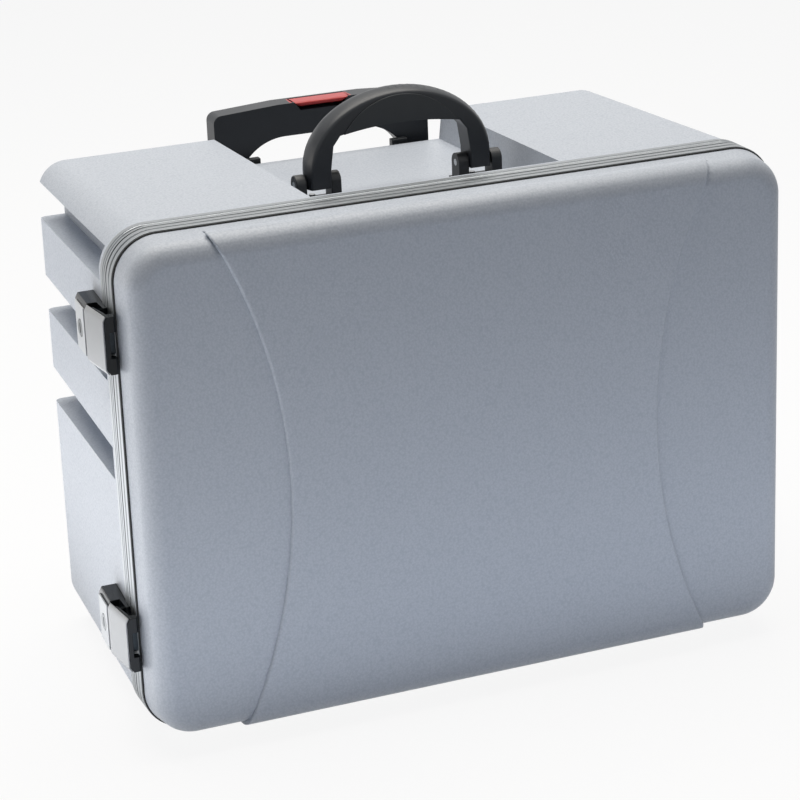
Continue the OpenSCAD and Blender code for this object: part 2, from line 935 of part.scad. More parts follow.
module tube_screws() {
    x = tube_w / 2 + bracket_rim + 4;
    color(satin_metal)
        for (side = [-1, 1], end = [-1, 1], z = [tube_foot, tube_top - bracket_h])
            translate([side * tube_x + end * x, base_depth + 4 + 2 * seat, z + bracket_h / 2])
                rotate([-90, 0, 0])
                    cylinder(r = 2.6, h = 1.8);
}

// The hand grip seen from the front, with a broad arched opening
module grip_outline() {
    h = grip_top - grip_foot;
    difference() {
        union() {
            translate([0, grip_foot + (h - grip_fall) / 2])
                round_rect(2 * grip_half, h - grip_fall, grip_r);
            translate([-grip_half, grip_foot])
                square([2 * grip_half, h / 2]);
            polygon([
                [grip_r - grip_half, grip_top - grip_fall - 1], [grip_r - grip_half, grip_top - grip_fall],
                [-grip_crown, grip_top], [grip_crown, grip_top],
                [grip_half - grip_r, grip_top - grip_fall], [grip_half - grip_r, grip_top - grip_fall - 1]
            ]);
        }
        translate([0, grip_top - grip_bar - opening_tall / 2])
            round_rect(2 * opening_half, opening_tall, opening_r);
    }
}

// Half of the hand grip from y0 to y1, hollow for the tubes, the rods and the button
module grip_half_shell(y0, y1) {
    difference() {
        across(y0, y1)
            grip_outline();
        for (side = [-1, 1]) {
            translate([side * tube_x, tube_y, grip_foot - past])
                linear_extrude(grip_bar + past + seat)
                    round_rect(inner_w + 2 * pin_gap, inner_d + 2 * pin_gap, tube_r - pin_gap);
            translate([side * tube_x, tube_y, grip_foot])
                cylinder(r = rod_r + 0.4, h = grip_top - grip_foot - 6);
        }
        translate([-tube_x, tube_y - 2.4, grip_top - button_h - button_travel - 5])
            cube([2 * tube_x, 4.8, 5 + button_travel]);
        translate([-button_l / 2 - 0.3, tube_y - button_d / 2 - 0.3, grip_top - button_h - button_travel])
            cube([button_l + 0.6, button_d + 0.6, button_h + button_travel + past]);
        translate([-button_l / 2 - 0.3, tube_y - grip_d, grip_top - button_lip - button_travel - 0.3])
            cube([button_l + 0.6, grip_d, button_h]);
    }
}

module pull_grip_front() {
    color(dark_plastic)
        grip_half_shell(tube_y - grip_d / 2, tube_y - seat / 2);
}

module pull_grip_rear() {
    color(dark_plastic)
        grip_half_shell(tube_y + seat / 2, tube_y + grip_d / 2);
}

module grip_screws() {
    color(satin_metal)
        for (side = [-1, 1])
            translate([side * tube_x, tube_y + grip_d / 2 + seat, grip_foot + 8])
                rotate([-90, 0, 0])
                    cylinder(r = 2.6, h = 1);
}

module release_button() {
    color([0.7, 0.2, 0.2])
        union() {
            translate([-button_l / 2, tube_y - button_d / 2, grip_top - button_h])
                cube([button_l, button_d, button_h]);
            translate([-button_l / 2, tube_y - grip_d / 2, grip_top - button_lip])
                cube([button_l, grip_d / 2, button_lip]);
        }
}

// Two rods run down the inner tubes, tied by a yoke under the button
module release_rods() {
    yoke_z = grip_top - button_h - 4 - seat;
    color(satin_metal) {
        translate([-tube_x, tube_y - 2, yoke_z])
            cube([2 * tube_x, 4, 4]);
        for (side = [-1, 1])
            translate([side * tube_x, tube_y, rod_foot])
                cylinder(r = rod_r, h = yoke_z + 3 - rod_foot);
    }
}

// The rounded rear corner of the case, seen from the side
module housing_corner() {
    y = base_depth - rear_edge_r;
    z = shell_step + rear_edge_r;
    translate([0, shell_step])
        square([y, case_h]);
    translate([0, z])
        square([base_depth, case_h]);
    translate([y, z])
        circle(rear_edge_r);
}

// A housing lines each wheel well and carries the axle
module wheel_housing(side) {
    height = axle_z + well_reach - shell_step;
    color(dark_plastic)
        translate([side * wheel_x, 0, 0])
            difference() {
                sideways(-well_half, well_half)
                    intersection() {
                        translate([axle_y - well_reach, shell_step])
                            square([base_depth - 1 - axle_y + well_reach, height]);
                        housing_corner();
                    }
                translate([-well_half + cheek_t, axle_y - well_reach + cheek_t, 0])
                    cube([2 * (well_half - cheek_t), 2 * well_reach, height + shell_step - cheek_t]);
                translate([0, axle_y, axle_z])
                    rotate([0, 90, 0])
                        cylinder(r = axle_r + pin_gap, h = 3 * well_half, center = true);
            }
}

module wheel_axles() {
    color(satin_metal)
        for (side = [-1, 1])
            translate([side * wheel_x, axle_y, axle_z])
                rotate([0, 90, 0])
                    cylinder(r = axle_r, h = 2 * well_half, center = true);
}

// Clips on the axle keep each wheel in the middle of its housing
module axle_clips() {
    color(satin_metal)
        for (side = [-1, 1], end = [-1, 1])
            translate([side * wheel_x + end * (well_half - cheek_t - 0.8), axle_y, axle_z])
                rotate([0, 90, 0])
                    difference() {
                        cylinder(r = axle_r + 2, h = 1, center = true);
                        cylinder(r = axle_r + pin_gap, h = 3, center = true);
                    }
}

module wheel_hub(side) {
    color(cover_grey)
        translate([side * wheel_x, axle_y, axle_z])
            rotate([0, 90, 0])
                difference() {
                    union() {
                        cylinder(r = hub_r, h = wheel_w - 6, center = true);
                        cylinder(r = axle_r + 4, h = wheel_w, center = true);
                    }
                    cylinder(r = axle_r + pin_gap, h = wheel_w + 2, center = true);
                    for (end = [-1, 1])
                        translate([0, 0, end * (wheel_w / 2 - 3)])
                            difference() {
                                cylinder(r = hub_r - 3, h = 3, center = true);
                                cylinder(r = axle_r + 4, h = 4, center = true);
                            }
                }
}

module tyre(side) {
    bevel = 2.5;
    color(dark_plastic)
        translate([side * wheel_x, axle_y, axle_z])
            rotate([0, 90, 0])
                rotate_extrude()
                    polygon([
                        [hub_r + seat, -wheel_w / 2 + 1], [wheel_r - bevel, -wheel_w / 2],
                        [wheel_r, -wheel_w / 2 + bevel], [wheel_r, wheel_w / 2 - bevel],
                        [wheel_r - bevel, wheel_w / 2], [hub_r + seat, wheel_w / 2 - 1]
                    ]);
}

module front_foot(side) {
    height = stand_h + shell_step - seat;
    color(dark_plastic)
        translate([side * wheel_x, foot_y, -stand_h])
            difference() {
                rotate_extrude()
                    polygon([
                        [0, 0], [foot_r - 3.5, 0], [foot_r - 1.5, 1.5], [foot_r, height - 2],
                        [foot_r, height], [0, height]
                    ]);
                translate([0, 0, -past])
                    cylinder(r = foot_r * 0.32, h = 2 * foot_screw_h + past);
            }
}

module foot_screws() {
    color(satin_metal)
        for (side = [-1, 1])
            translate([side * wheel_x, foot_y, -stand_h + foot_screw_h - seat])
                cylinder(r = foot_r * 0.27, h = foot_screw_h);
}

placed() base_shell();
placed() base_frame();
placed() frame_seal();
placed() latch_housing(0);  // latch_housing_upper
placed() latch_housing(1);  // latch_housing_lower
placed() latch_plate(0);  // latch_plate_upper
placed() latch_plate(1);  // latch_plate_lower
placed() latch_pins();
placed() frame_rivets();
placed() hinge_leaf(0, 1);  // hinge_base_leaf_upper
placed() hinge_leaf(1, 1);  // hinge_base_leaf_lower
placed() hinge_pins();
placed() handle_bracket(-1);  // handle_bracket_left
placed() handle_bracket(1);  // handle_bracket_right
placed() handle_pins();
placed() bracket_screws();
placed() outer_tube(-1);  // outer_tube_left
placed() outer_tube(1);  // outer_tube_right
placed() tube_top_bracket(-1);  // tube_top_bracket_left
placed() tube_top_bracket(1);  // tube_top_bracket_right
placed() tube_foot_bracket(-1);  // tube_foot_bracket_left
placed() tube_foot_bracket(1);  // tube_foot_bracket_right
placed() tube_screws();
placed() wheel_housing(-1);  // wheel_housing_left
placed() wheel_housing(1);  // wheel_housing_right
placed() wheel_axles();
placed() axle_clips();
placed() front_foot(-1);  // front_foot_left
placed() front_foot(1);  // front_foot_right
placed() foot_screws();
placed() lid_shell();
placed() lid_frame();
placed() lid_trim();
placed() keeper(0);  // keeper_upper
placed() keeper(1);  // keeper_lower
placed() hinge_leaf(0, -1);  // hinge_lid_leaf_upper
placed() hinge_leaf(1, -1);  // hinge_lid_leaf_lower
placed() lid_rivets();
placed() latch_flap(0);  // latch_flap_upper
placed() latch_flap(1);  // latch_flap_lower
placed() flap_cover(0);  // flap_cover_upper
placed() flap_cover(1);  // flap_cover_lower
placed() lock_cylinder(0);  // lock_cylinder_upper
placed() lock_cylinder(1);  // lock_cylinder_lower
placed() carry_handle();
placed() middle_tube(-1);  // middle_tube_left
placed() middle_tube(1);  // middle_tube_right
placed() inner_tube(-1);  // inner_tube_left
placed() inner_tube(1);  // inner_tube_right
placed() pull_grip_front();
placed() pull_grip_rear();
placed() grip_screws();
placed() release_button();
placed() release_rods();
placed() wheel_hub(-1);  // wheel_hub_left
placed() wheel_hub(1);  // wheel_hub_right
placed() tyre(-1);  // tyre_left
placed() tyre(1);  // tyre_right
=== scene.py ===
# Hard tool case on wheels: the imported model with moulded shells, beads, grain and worked metal around it
import math
import bmesh
import bpy
from mathutils import Matrix, Vector


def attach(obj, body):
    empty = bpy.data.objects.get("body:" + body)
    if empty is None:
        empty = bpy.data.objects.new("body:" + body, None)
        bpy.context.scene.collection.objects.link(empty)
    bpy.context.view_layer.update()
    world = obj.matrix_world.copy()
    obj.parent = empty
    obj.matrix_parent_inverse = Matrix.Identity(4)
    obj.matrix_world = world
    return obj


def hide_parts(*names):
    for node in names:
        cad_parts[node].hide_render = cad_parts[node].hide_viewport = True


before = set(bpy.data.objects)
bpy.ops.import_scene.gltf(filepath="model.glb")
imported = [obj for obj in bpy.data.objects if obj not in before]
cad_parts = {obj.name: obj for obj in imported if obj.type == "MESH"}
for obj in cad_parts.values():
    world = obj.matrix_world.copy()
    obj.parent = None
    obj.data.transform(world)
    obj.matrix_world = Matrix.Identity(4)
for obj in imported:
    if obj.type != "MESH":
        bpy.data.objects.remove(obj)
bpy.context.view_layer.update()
scene = bpy.context.scene
scene.view_settings.view_transform = "Standard"

# The case is drawn in millimetres from the lid gap and the frame's lowest edge, then moved into the model's frame
caseSize = {"width": 500, "height": 366, "corner": 33, "midX": -3, "midY": 126.25, "stand": 12}
toModel = Matrix.Scale(0.001, 4) @ Matrix.Translation((-caseSize["midX"], -caseSize["midY"], caseSize["stand"]))
toCase = toModel.inverted()


# Small tools
def addNode(tree, kind, settings=None, links=None):
    node = tree.nodes.new(kind)
    for key, value in (settings or {}).items():
        if isinstance(key, str) and hasattr(node, key):
            setattr(node, key, value)
        else:
            node.inputs[key].default_value = value
    for key, source in (links or {}).items():
        tree.links.new(source, node.inputs[key])
    return node


def linearColour(hexText):
    parts = [int(hexText[i:i + 2], 16) / 255 for i in (0, 2, 4)]
    return tuple(c / 12.92 if c <= 0.04045 else ((c + 0.055) / 1.055) ** 2.4 for c in parts) + (1,)


def looseObject(name, bm):
    mesh = bpy.data.meshes.new(name)
    bm.to_mesh(mesh)
    bm.free()
    loose = bpy.data.objects.new(name, mesh)
    scene.collection.objects.link(loose)
    return loose


# Moves a mesh from case millimetres into the model's frame, smooths it and gives it to a body
def meshPiece(name, bm, body, material, replaces=(), sharpAngle=40):
    bmesh.ops.transform(bm, matrix=toModel, verts=bm.verts)
    piece = looseObject(name, bm)
    mesh = piece.data
    for face in mesh.polygons:
        face.use_smooth = True
    mesh.set_sharp_from_angle(angle=math.radians(sharpAngle))
    mesh.materials.append(material)
    flat = piece.modifiers.new("flatFaces", "WEIGHTED_NORMAL")
    flat.keep_sharp = True
    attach(piece, body)
    if replaces:
        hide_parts(*replaces)


# Evaluates an object's modifiers into a bmesh and drops the object
def workedMesh(loose, others=()):
    bpy.context.view_layer.update()
    graph = bpy.context.evaluated_depsgraph_get()
    mesh = bpy.data.meshes.new_from_object(loose.evaluated_get(graph))
    bm = bmesh.new()
    bm.from_mesh(mesh)
    for thing in (loose, *others):
        bpy.data.objects.remove(thing)
    bpy.data.meshes.remove(mesh)
    return bm


def block(bm, low, high):
    low, high = Vector(low), Vector(high)
    size = Matrix.Diagonal((*(high - low), 1))
    return bmesh.ops.create_cube(bm, size=1, matrix=Matrix.Translation((low + high) / 2) @ size)["verts"]


# Round bar along the Y axis
def rod(bm, centre, radius, length, segments):
    place = Matrix.Translation(centre) @ Matrix.Rotation(math.radians(-90), 4, "X")
    bmesh.ops.create_cone(bm, cap_ends=True, segments=segments, radius1=radius, radius2=radius, depth=length,
                          matrix=place)


# Merges points closer than a gap, and flat faces whose edges bend less than an angle in degrees
def cleaned(bm, gap, bend):
    bmesh.ops.remove_doubles(bm, verts=bm.verts, dist=gap)
    bmesh.ops.dissolve_limit(bm, angle_limit=math.radians(bend), verts=bm.verts, edges=bm.edges)
    return bm


# Merged copy of a CAD node, in case millimetres, for edges that need rounding
def cadCopy(nodeName):
    bm = bmesh.new()
    bm.from_mesh(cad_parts[nodeName].data)
    bmesh.ops.transform(bm, matrix=toCase, verts=bm.verts)
    return cleaned(bm, 0.001, 0.8)


# Cuts every face where a plane across the given axis meets it
def sliceMesh(bm, point, normal):
    bmesh.ops.bisect_plane(bm, geom=bm.verts[:] + bm.edges[:] + bm.faces[:], dist=0.0001, plane_co=point,
                           plane_no=normal)


def bevelEdges(bm, edges, width, segments, clamp=True):
    bmesh.ops.bevel(bm, geom=edges, offset=width, offset_type="OFFSET", segments=segments, profile=0.5,
                    affect="EDGES", clamp_overlap=clamp, material=-1)


# Rounds the edges that bend more than the least angle in degrees
def roundEdges(bm, width, segments, least, keep=None, clamp=True):
    edges = [e for e in bm.edges if len(e.link_faces) == 2 and e.calc_face_angle(0) > math.radians(least)
             and (keep is None or keep(e))]
    bevelEdges(bm, edges, width, segments, clamp)
    return bm


# Materials
def startMaterial(name):
    material = bpy.data.materials.new(name)
    material.use_nodes = True
    tree = material.node_tree
    tree.nodes.clear()
    output = addNode(tree, "ShaderNodeOutputMaterial")
    shader = addNode(tree, "ShaderNodeBsdfPrincipled")
    tree.links.new(shader.outputs[0], output.inputs[0])
    coordinates = addNode(tree, "ShaderNodeTexCoord").outputs["Object"]
    return material, tree, shader, coordinates


# ABS sheet, vacuum formed on a leather grained tool: satin pebbles about 1.6 mm across, drawn half again as coarse as
# the real grain so that they show from two metres.
# The valleys between the pebbles are painted darker, partly as dust and partly as painted shade in the hollows of the
# grain
def grainedAbs(name, colour, valleyDustAndShade, grainMm=1.6, depthMm=0.16):
    material, tree, shader, coordinates = startMaterial(name)
    warp = addNode(tree, "ShaderNodeTexNoise", {"Scale": 1000 / (grainMm * 3), "Detail": 2.0},
                   {"Vector": coordinates})
    offset = addNode(tree, "ShaderNodeVectorMath", {"operation": "MULTIPLY_ADD"},
                     {0: warp.outputs["Color"], 2: coordinates})
    offset.inputs[1].default_value = (grainMm / 900,) * 3
    pebbles = addNode(tree, "ShaderNodeTexVoronoi",
                      {"feature": "SMOOTH_F1", "Scale": 1000 / grainMm, "Smoothness": 0.25},
                      {"Vector": offset.outputs[0]})
    dustAndShadeNoise = addNode(tree, "ShaderNodeTexNoise", {"Scale": 1000 / (grainMm * 0.6), "Detail": 2.0},
                   {"Vector": coordinates})
    height = addNode(tree, "ShaderNodeMix", {"data_type": "FLOAT", 0: 0.3},
                     {2: pebbles.outputs["Distance"], 3: dustAndShadeNoise.outputs["Fac"]})
    spread = addNode(tree, "ShaderNodeMapRange", {"From Min": 0.15, "From Max": 0.75}, {"Value": height.outputs[0]})
    # painted shade and dust: the colour runs to the valley tone in the valleys between the pebbles, where shade falls
    # in the grain
    tone = addNode(tree, "ShaderNodeMix", {"data_type": "RGBA"}, {0: spread.outputs[0]})
    tone.inputs["A"].default_value = linearColour(colour)
    tone.inputs["B"].default_value = linearColour(valleyDustAndShade)
    tree.links.new(tone.outputs["Result"], shader.inputs["Base Color"])
    gloss = addNode(tree, "ShaderNodeMapRange", {"To Min": 0.36, "To Max": 0.52}, {"Value": spread.outputs[0]})
    tree.links.new(gloss.outputs[0], shader.inputs["Roughness"])
    bump = addNode(tree, "ShaderNodeBump", {"invert": True, "Strength": 0.7, "Distance": depthMm / 1000},
                   {"Height": height.outputs[0]})
    tree.links.new(bump.outputs[0], shader.inputs["Normal"])
    shader.inputs["IOR"].default_value = 1.45
    return material


# Glass filled nylon, injection moulded on a fine spark eroded tool: an even dull bloom over near black
def mouldedNylon(name, colour, pale, low, high, grainMm=0.5, depthMm=0.03, specular=0.5):
    material, tree, shader, coordinates = startMaterial(name)
    grain = addNode(tree, "ShaderNodeTexNoise", {"Scale": 1000 / grainMm, "Detail": 2.0}, {"Vector": coordinates})
    clouds = addNode(tree, "ShaderNodeTexNoise", {"Scale": 60.0, "Detail": 3.0}, {"Vector": coordinates})
    tone = addNode(tree, "ShaderNodeMix", {"data_type": "RGBA"}, {"Factor": clouds.outputs["Fac"]})
    tone.inputs["A"].default_value = linearColour(colour)
    tone.inputs["B"].default_value = linearColour(pale)
    tree.links.new(tone.outputs["Result"], shader.inputs["Base Color"])
    gloss = addNode(tree, "ShaderNodeMapRange", {"To Min": low, "To Max": high}, {"Value": clouds.outputs["Fac"]})
    tree.links.new(gloss.outputs[0], shader.inputs["Roughness"])
    bump = addNode(tree, "ShaderNodeBump", {"Strength": 0.35, "Distance": depthMm / 1000},
                   {"Height": grain.outputs["Fac"]})
    tree.links.new(bump.outputs[0], shader.inputs["Normal"])
    shader.inputs["IOR"].default_value = 1.42
    shader.inputs["Specular IOR Level"].default_value = specular
    return material


# Metal with drawing or turning lines: stretch gives the pattern's scale per metre on each axis
def linedMetal(name, colour, dark, low, high, stretch, depthMm=0.01):
    material, tree, shader, coordinates = startMaterial(name)
    mapping = addNode(tree, "ShaderNodeMapping", links={"Vector": coordinates})
    mapping.inputs["Scale"].default_value = stretch
    lines = addNode(tree, "ShaderNodeTexNoise", {"Scale": 1.0, "Detail": 3.0}, {"Vector": mapping.outputs[0]})
    tone = addNode(tree, "ShaderNodeMix", {"data_type": "RGBA"}, {"Factor": lines.outputs["Fac"]})
    tone.inputs["A"].default_value = linearColour(dark)
    tone.inputs["B"].default_value = linearColour(colour)
    tree.links.new(tone.outputs["Result"], shader.inputs["Base Color"])
    gloss = addNode(tree, "ShaderNodeMapRange", {"To Min": low, "To Max": high}, {"Value": lines.outputs["Fac"]})
    tree.links.new(gloss.outputs[0], shader.inputs["Roughness"])
    bump = addNode(tree, "ShaderNodeBump", {"Strength": 0.3, "Distance": depthMm / 1000},
                   {"Height": lines.outputs["Fac"]})
    tree.links.new(bump.outputs[0], shader.inputs["Normal"])
    shader.inputs["Metallic"].default_value = 1.0
    return material


shellAbs = grainedAbs("leatherGrainedAbs", "b7bdc6", "a7aeb8")
handleNylon = mouldedNylon("sparkErodedNylon", "191c21", "22262b", 0.34, 0.46)
latchNylon = mouldedNylon("glossyBlackNylon", "0d1114", "14191d", 0.16, 0.24, 0.4, 0.008, 0.3)
bracketNylon = mouldedNylon("blackBracketNylon", "1a1c1f", "24272a", 0.38, 0.5)
# The flap covers are the same grey enamel as the latch plates, drawn darker as painted shade on the flaps
flapCoverShadeEnamel = mouldedNylon("flapGreyEnamelPaintedShade", "989b9e", "a0a3a6", 0.3, 0.38, 0.3, 0.01)
plateEnamel = mouldedNylon("paleGreyEnamel", "b4b8bc", "babec2", 0.34, 0.42, 0.3, 0.01)
buttonAbs = mouldedNylon("redSatinAbs", "a92a2a", "b23232", 0.28, 0.36, 0.4, 0.01)
hubNylon = mouldedNylon("greyHubNylon", "5a5d60", "65686b", 0.4, 0.5)
sealRubber = mouldedNylon("extrudedRubber", "121314", "1b1c1d", 0.55, 0.7, 0.8, 0.03)
padRubber = mouldedNylon("softGripRubber", "1d2124", "272b2f", 0.4, 0.5, 0.6, 0.03)
tyreRubber = mouldedNylon("mouldedTyreRubber", "161616", "222222", 0.6, 0.75, 0.7, 0.05)
frameAluminium = linedMetal("satinAnodisedAluminium", "a3a7aa", "7d8184", 0.3, 0.42, (40, 1600, 40))
tubeAluminium = linedMetal("drawnAnodisedTube", "c4c6c8", "b0b3b6", 0.26, 0.36, (2500, 2500, 12))
turnedSteel = linedMetal("turnedZincSteel", "c0c2c4", "9da0a3", 0.22, 0.34, (1500, 1500, 1500))
nickelSteel = linedMetal("nickelPlatedSteel", "c2bfb9", "a9a6a0", 0.18, 0.28, (400, 400, 1800))
lockSteel = linedMetal("burnishedLockSteel", "7d8184", "4c5053", 0.25, 0.36, (1200, 1200, 1200))
# The keepers are drawn in near black steel as painted shade, standing for the dark recess between the latch flap's
# prongs where they sit
keeperShadeSteel = linedMetal("keeperSteelPaintedShade", "3a3f43", "24282b", 0.3, 0.4, (400, 400, 1800))
print("materials made")


# Shells, with the recess of the carry handle, the grooves of the sides and the wells of the wheels
shell = {"wall": 3, "baseFront": 27.35, "draftStart": 27.3, "baseRear": 248, "step": 1, "taper": 16, "topTaper": 7.5,
         "rearCorner": 22, "rearRound": 6, "edge": 2.2, "lidStep": 1.5, "lidDraft": 2, "lidRound": 15, "lidBack": 0.5,
         "lidDepth": 27, "rise": 2.5, "waistHalf": 141.5, "waistRadius": 395, "waistDrop": 4, "drumLength": 80,
         "panelRear": -6, "panelClear": 4, "panelSunk": 1.1, "panelEdge": 2.2}
recess = {"width": 184, "depth": 25, "start": 32, "draft": 3, "over": 30, "run": 300}
grooves = {"rearHeights": [171, 244, 316], "rearTall": 28, "frontTall": 24, "climb": 11, "rearDeep": 20,
           "frontDeep": 20, "start": 35, "past": 2, "outside": 300}
well = {"midX": 178, "half": 15.05, "front": 202.95, "rear": 270, "low": -5, "top": 48.05}
halfWidth = caseSize["width"] / 2
baseRun = shell["baseRear"] - shell["draftStart"]
sideSlope = (shell["taper"] - shell["step"]) / baseRun
topSlope = (shell["topTaper"] - shell["step"]) / baseRun


def sideAt(y):
    return halfWidth - shell["step"] - sideSlope * (y - shell["draftStart"])


def topAt(y):
    return caseSize["height"] - shell["step"] - topSlope * (y - shell["draftStart"])


# Rings that hull to a disc with a round front edge: towards is 1 for +Y and -1 for -Y
def pillow(bm, centre, radius, edge, towards, steps, segments):
    x, y, z = centre
    ring = 0.02
    for k in range(steps + 1):
        angle = math.radians(90 * k / steps)
        reach = radius - edge + edge * math.cos(angle)
        rod(bm, (x, y + towards * edge * math.sin(angle), z), reach, ring, segments)


def hullOf(bm):
    made = bmesh.ops.convex_hull(bm, input=bm.verts)
    loose = {g for key in ("geom_interior", "geom_unused") for g in made[key] if isinstance(g, bmesh.types.BMVert)}
    bmesh.ops.delete(bm, geom=list(loose), context="VERTS")
    bmesh.ops.dissolve_limit(bm, angle_limit=math.radians(0.2), verts=bm.verts, edges=bm.edges)
    return bm


# Convex body of the base, drawn in by a step, from the frame to the rear wall
def baseBody(step, frontY):
    bm = bmesh.new()
    radius = caseSize["corner"] - shell["step"] - step
    rear = shell["rearCorner"] - step
    lowZ = shell["step"] + step
    disc = 1
    for side in (-1, 1):
        for z in (lowZ + radius, caseSize["height"] - lowZ - radius):
            rod(bm, (side * (halfWidth - lowZ - radius), frontY + disc / 2, z), radius, disc, 96)
        for z in (lowZ + rear, topAt(shell["baseRear"]) - step - rear):
            pillow(bm, (side * (sideAt(shell["baseRear"]) - step - rear), shell["baseRear"] - shell["rearRound"], z),
                   rear, shell["rearRound"] - step, 1, 8, 96)
    return hullOf(bm)


def recessCutter(grow):
    bm = bmesh.new()
    half = recess["width"] / 2 + grow
    deep = recess["depth"] + recess["over"]
    for v in block(bm, (-half, 0, 0), (half, recess["run"], deep)):
        if v.co.z > deep / 2:
            v.co.x *= 1 + recess["draft"] / recess["depth"] * deep / half
    start = recess["start"] - grow
    turn = Matrix.Rotation(-math.atan(topSlope), 4, "X")
    bmesh.ops.transform(bm, verts=bm.verts, matrix=Matrix.Translation(
        (0, start, topAt(recess["start"]) - recess["depth"] - grow)) @ turn)
    return looseObject("recessCutter", bm)


def grooveCutter(grow):
    bm = bmesh.new()
    frontWall = sideAt(grooves["start"]) - grooves["frontDeep"] - grow
    rearWall = sideAt(shell["baseRear"]) - grooves["rearDeep"] - grow
    for z in grooves["rearHeights"]:
        for side in (-1, 1):
            for v in block(bm, (-1, -1, -1), (1, 1, 1)):
                atRear, atTop, atWall = v.co.y > 0, v.co.z > 0, v.co.x < 0
                climb = 0 if atRear else grooves["climb"]
                tall = grooves["rearTall"] if atRear else grooves["frontTall"]
                wall = rearWall if atRear else frontWall
                v.co = (side * (wall if atWall else grooves["outside"]),
                        shell["baseRear"] + grooves["past"] if atRear else grooves["start"] - grow,
                        z + climb + (tall + grow if atTop else -grow))
    bmesh.ops.recalc_face_normals(bm, faces=bm.faces)
    return looseObject("grooveCutter", bm)


def wellCutter(grow):
    bm = bmesh.new()
    for side in (-1, 1):
        middle = side * well["midX"]
        block(bm, (middle - well["half"] - grow, well["front"] - grow, well["low"]),
              (middle + well["half"] + grow, well["rear"], well["top"] + grow))
    return looseObject("wellCutter", bm)


def combine(loose, other, operation):
    tool = loose.modifiers.new("combine", "BOOLEAN")
    tool.operation = operation
    tool.object = other
    tool.solver = "EXACT"


def cutFrom(loose, cutter):
    combine(loose, cutter, "DIFFERENCE")


def carvedBase(step, frontY):
    loose = looseObject("baseForm", baseBody(step, frontY))
    cutters = [recessCutter(step), grooveCutter(step), wellCutter(step)]
    for cutter in cutters:
        cutFrom(loose, cutter)
    return cleaned(workedMesh(loose, cutters), 0.01, 0.4)


def makeBaseShell():
    outer = carvedBase(0, shell["baseFront"])
    roundEdges(outer, shell["edge"], 4, 28, lambda e: min(v.co.y for v in e.verts) > shell["baseFront"] + 1)
    skin = looseObject("baseSkin", outer)
    cavity = looseObject("baseCavity", carvedBase(shell["wall"], shell["baseFront"] - 6))
    cutFrom(skin, cavity)
    meshPiece("caseBaseShell", workedMesh(skin, [cavity]), "base", shellAbs, ["base_shell"])


# Convex body of the lid: a rear outline, and a front one drawn in by the draft and pushed out by a rise
def lidBody(step, rise=0, rearY=None):
    bm = bmesh.new()
    backStep = shell["lidStep"] + step
    frontStep = backStep + shell["lidDraft"] - rise
    backRadius = caseSize["corner"] - backStep
    frontRadius = caseSize["corner"] - frontStep
    sunk = 0 if rearY is None else shell["panelSunk"]
    edge = shell["lidRound"] - step
    frontY = -(shell["lidDepth"] + rise - step - edge)
    disc = 0.2
    for side in (-1, 1):
        for end in (0, 1):
            z = backStep + backRadius if end == 0 else caseSize["height"] - backStep - backRadius
            rod(bm, (side * (halfWidth - backStep - backRadius), shell["lidBack"] if rearY is None else rearY, z),
                backRadius - sunk, disc, 128)
            z = frontStep + frontRadius if end == 0 else caseSize["height"] - frontStep - frontRadius
            pillow(bm, (side * (halfWidth - frontStep - frontRadius), frontY, z), frontRadius, edge, -1, 12, 128)
    return hullOf(bm)


# One of two drums whose walls leave a waisted panel between them
def waistDrum(side, grow):
    bm = bmesh.new()
    x = side * (shell["waistHalf"] + shell["waistRadius"])
    z = caseSize["height"] / 2 - shell["waistDrop"]
    rod(bm, (x, -shell["lidDepth"], z), shell["waistRadius"] + grow, shell["drumLength"], 360)
    return looseObject("waistDrum", bm)


# True where a point lies on the wall of either drum
def onWaist(co):
    reach = math.hypot(abs(co.x) - shell["waistHalf"] - shell["waistRadius"],
                       co.z - caseSize["height"] / 2 + shell["waistDrop"])
    return abs(reach - shell["waistRadius"]) < 0.1


def onCrease(edge):
    return all(onWaist(v.co) and v.co.y < shell["panelRear"] - shell["panelClear"] for v in edge.verts)


# A low body with the waisted panel standing proud of it, fading out towards the rear edge
def steppedLid(step):
    low = looseObject("lidLow", lidBody(step))
    high = looseObject("lidHigh", lidBody(step, shell["rise"], shell["panelRear"] + step))
    waist = [waistDrum(side, step) for side in (-1, 1)]
    for tool in waist:
        cutFrom(high, tool)
    panel = workedMesh(high, waist)
    bmesh.ops.remove_doubles(panel, verts=panel.verts, dist=0.06)
    if not step:
        roundEdges(panel, shell["panelEdge"], 4, 40, onCrease, clamp=False)
    panel = looseObject("lidPanel", panel)
    combine(low, panel, "UNION")
    return workedMesh(low, [panel])


def makeLidShell():
    skin = looseObject("lidSkin", steppedLid(0))
    inner = steppedLid(shell["wall"])
    bmesh.ops.translate(inner, verts=inner.verts, vec=(0, 1, 0))
    cavity = looseObject("lidCavity", inner)
    cutFrom(skin, cavity)
    bm = workedMesh(skin, [cavity])
    bmesh.ops.remove_doubles(bm, verts=bm.verts, dist=0.005)
    meshPiece("caseLidShell", bm, "lid", shellAbs, ["lid_shell"], sharpAngle=32)


makeBaseShell()
print("base shell made")
makeLidShell()
print("lid shell made")


# Carry handle: crowned arch over two legs, with a soft grip pad that stands a little proud
handle = {"y": 107.5, "pivotZ": 353.138, "archLift": 9.5, "half": 72, "thick": 21, "crown": 3.0, "edge": 2.6,
          "slices": (-0.85, -0.6, -0.3, 0, 0.3, 0.6, 0.85), "rimShare": 0.985, "eye": 4,
          "padRadius": 52, "padZ": 360.4, "padProud": 0.9, "padEdge": 0.8, "under": 39, "underDrop": 250.3,
          "underRadius": 250, "underLength": 60}


